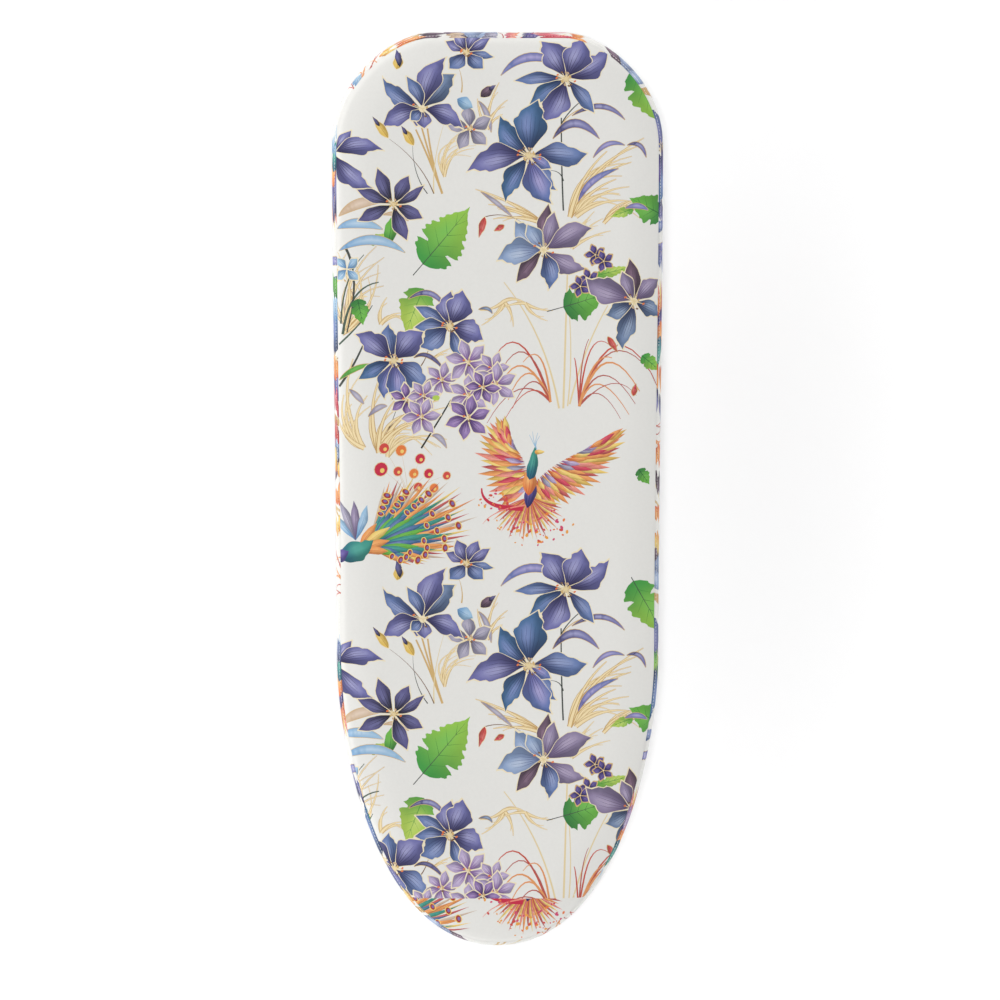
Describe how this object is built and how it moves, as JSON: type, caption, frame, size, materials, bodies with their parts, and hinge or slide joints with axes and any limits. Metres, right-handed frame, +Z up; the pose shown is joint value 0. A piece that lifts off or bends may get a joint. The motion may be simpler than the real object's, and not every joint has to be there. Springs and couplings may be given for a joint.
{
  "type": "tabletop ironing board",
  "caption": "Long, low ironing board with a square shoulder end, a rounded nose and a printed cloth cover, standing on fold-flat U-shaped legs.",
  "frame": {"origin": "on the table, under the middle of the board's outline, with the board standing on its feet", "axes": "+Z up out of the ironing surface, +Y along the board towards the square end (the nose is at -Y), +X across it"},
  "size_m": [0.312, 0.87, 0.1749],
  "materials": {
    "cover": "printed woven cloth, off-white ground with a flower and leaf print",
    "foam_pad": "open-cell foam, pale cream",
    "felt_underlay": "needled felt, grey",
    "hem_elastic": "white braided elastic",
    "mesh_sheet": "expanded steel sheet, pale grey coat",
    "perimeter_tube": "powder coat, satin",
    "rail_wide_leg": "powder coat, satin",
    "rail_wide_clip": "powder coat, satin",
    "rail_nose_leg": "powder coat, satin",
    "rail_nose_clip": "powder coat, satin",
    "rail_hook": "powder coat, satin",
    "bracket_wide_left": "powder coat, satin",
    "bracket_wide_right": "powder coat, satin",
    "bracket_nose_left": "powder coat, satin",
    "bracket_nose_right": "powder coat, satin",
    "pin_wide_left": "zinc plated",
    "pin_wide_right": "zinc plated",
    "pin_nose_left": "zinc plated",
    "pin_nose_right": "zinc plated",
    "rivet_wide_1": "zinc plated",
    "rivet_wide_2": "zinc plated",
    "rivet_wide_3": "zinc plated",
    "rivet_wide_4": "zinc plated",
    "rivet_nose_1": "zinc plated",
    "rivet_nose_2": "zinc plated",
    "rivet_nose_3": "zinc plated",
    "rivet_nose_4": "zinc plated",
    "clip_wide": "moulded, off-white",
    "clip_wide_rivet": "zinc plated",
    "clip_nose": "moulded, off-white",
    "clip_nose_rivet": "zinc plated",
    "hook_post": "zinc plated",
    "hanging_hook": "zinc plated wire",
    "leg_wide": "powder coat, satin",
    "leg_wide_foot_left": "matt black rubber",
    "leg_wide_foot_right": "matt black rubber",
    "leg_nose": "powder coat, satin",
    "leg_nose_foot_left": "matt black rubber",
    "leg_nose_foot_right": "matt black rubber"
  },
  "bodies": {
    "board": {"cover": "cover", "foam_pad": "foam_pad", "felt_underlay": "felt_underlay", "hem_elastic": "hem_elastic", "mesh_sheet": "mesh_sheet", "perimeter_tube": "perimeter_tube", "rail_wide_leg": "rail_wide_leg", "rail_wide_clip": "rail_wide_clip", "rail_nose_leg": "rail_nose_leg", "rail_nose_clip": "rail_nose_clip", "rail_hook": "rail_hook", "bracket_wide_left": "bracket_wide_left", "bracket_wide_right": "bracket_wide_right", "bracket_nose_left": "bracket_nose_left", "bracket_nose_right": "bracket_nose_right", "pin_wide_left": "pin_wide_left", "pin_wide_right": "pin_wide_right", "pin_nose_left": "pin_nose_left", "pin_nose_right": "pin_nose_right", "rivet_wide_1": "rivet_wide_1", "rivet_wide_2": "rivet_wide_2", "rivet_wide_3": "rivet_wide_3", "rivet_wide_4": "rivet_wide_4", "rivet_nose_1": "rivet_nose_1", "rivet_nose_2": "rivet_nose_2", "rivet_nose_3": "rivet_nose_3", "rivet_nose_4": "rivet_nose_4", "clip_wide": "clip_wide", "clip_wide_rivet": "clip_wide_rivet", "clip_nose": "clip_nose", "clip_nose_rivet": "clip_nose_rivet", "hook_post": "hook_post"},
    "leg_wide": {"leg_wide": "leg_wide", "leg_wide_foot_left": "leg_wide_foot_left", "leg_wide_foot_right": "leg_wide_foot_right"},
    "leg_nose": {"leg_nose": "leg_nose", "leg_nose_foot_left": "leg_nose_foot_left", "leg_nose_foot_right": "leg_nose_foot_right"},
    "hook": {"hanging_hook": "hanging_hook"}
  },
  "joints": [
    {"name": "leg_wide_fold", "type": "hinge", "parent": "board", "child": "leg_wide", "pos_m": [0, 0.3, 0.1413], "axis": [-1, 0, 0], "range_deg": [0, 98]},
    {"name": "leg_nose_fold", "type": "hinge", "parent": "board", "child": "leg_nose", "pos_m": [0, -0.235, 0.1413], "axis": [1, 0, 0], "range_deg": [0, 98]},
    {"name": "hook_swivel", "type": "hinge", "parent": "board", "child": "hook", "pos_m": [0, 0.388, 0.14465], "axis": [0, 0, 1], "range_deg": [0, 180]}
  ]
}
